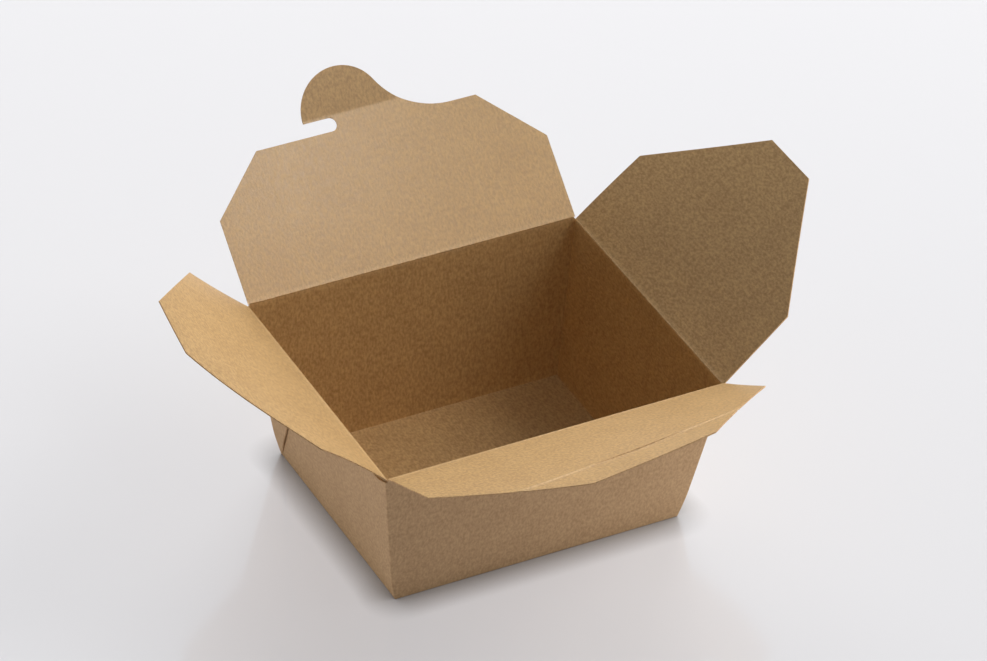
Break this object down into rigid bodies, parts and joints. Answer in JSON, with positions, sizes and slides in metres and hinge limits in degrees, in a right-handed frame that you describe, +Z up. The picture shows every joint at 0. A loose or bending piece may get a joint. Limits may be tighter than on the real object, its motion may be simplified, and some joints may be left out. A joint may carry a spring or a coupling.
{
  "type": "takeout box",
  "caption": "Open folding kraft board takeout box with tapered walls, webbed corners, creased top flaps and a hooked tongue that locks into a slit.",
  "frame": {"origin": "middle of the underside of the base, on the table", "axes": "+Z up, +X along the long side to the right flap, -Y towards the front flap, +Y towards the lid flap"},
  "size_m": [0.2392, 0.2289, 0.1147],
  "materials": {
    "kraft_board": "uncoated brown kraft board, matte, with fine fibres"
  },
  "bodies": {
    "tray": {"tray": "kraft_board"},
    "left_flap": {"left_flap": "kraft_board"},
    "right_flap": {"right_flap": "kraft_board"},
    "front_flap": {"front_flap": "kraft_board"},
    "lid_flap": {"lid_flap": "kraft_board"}
  },
  "joints": [
    {"name": "left_flap_crease", "type": "hinge", "parent": "tray", "child": "left_flap", "pos_m": [-0.065, 0, 0.0611], "axis": [0, 1, 0], "range_deg": [-80, 144]},
    {"name": "right_flap_crease", "type": "hinge", "parent": "tray", "child": "right_flap", "pos_m": [0.065, 0, 0.0611], "axis": [0, -1, 0], "range_deg": [-79, 143]},
    {"name": "front_flap_crease", "type": "hinge", "parent": "tray", "child": "front_flap", "pos_m": [0, -0.055, 0.062], "axis": [-1, 0, 0], "range_deg": [-68, 152]},
    {"name": "lid_flap_crease", "type": "hinge", "parent": "tray", "child": "lid_flap", "pos_m": [0, 0.055, 0.062], "axis": [1, 0, 0], "range_deg": [-81, 134.5]}
  ]
}
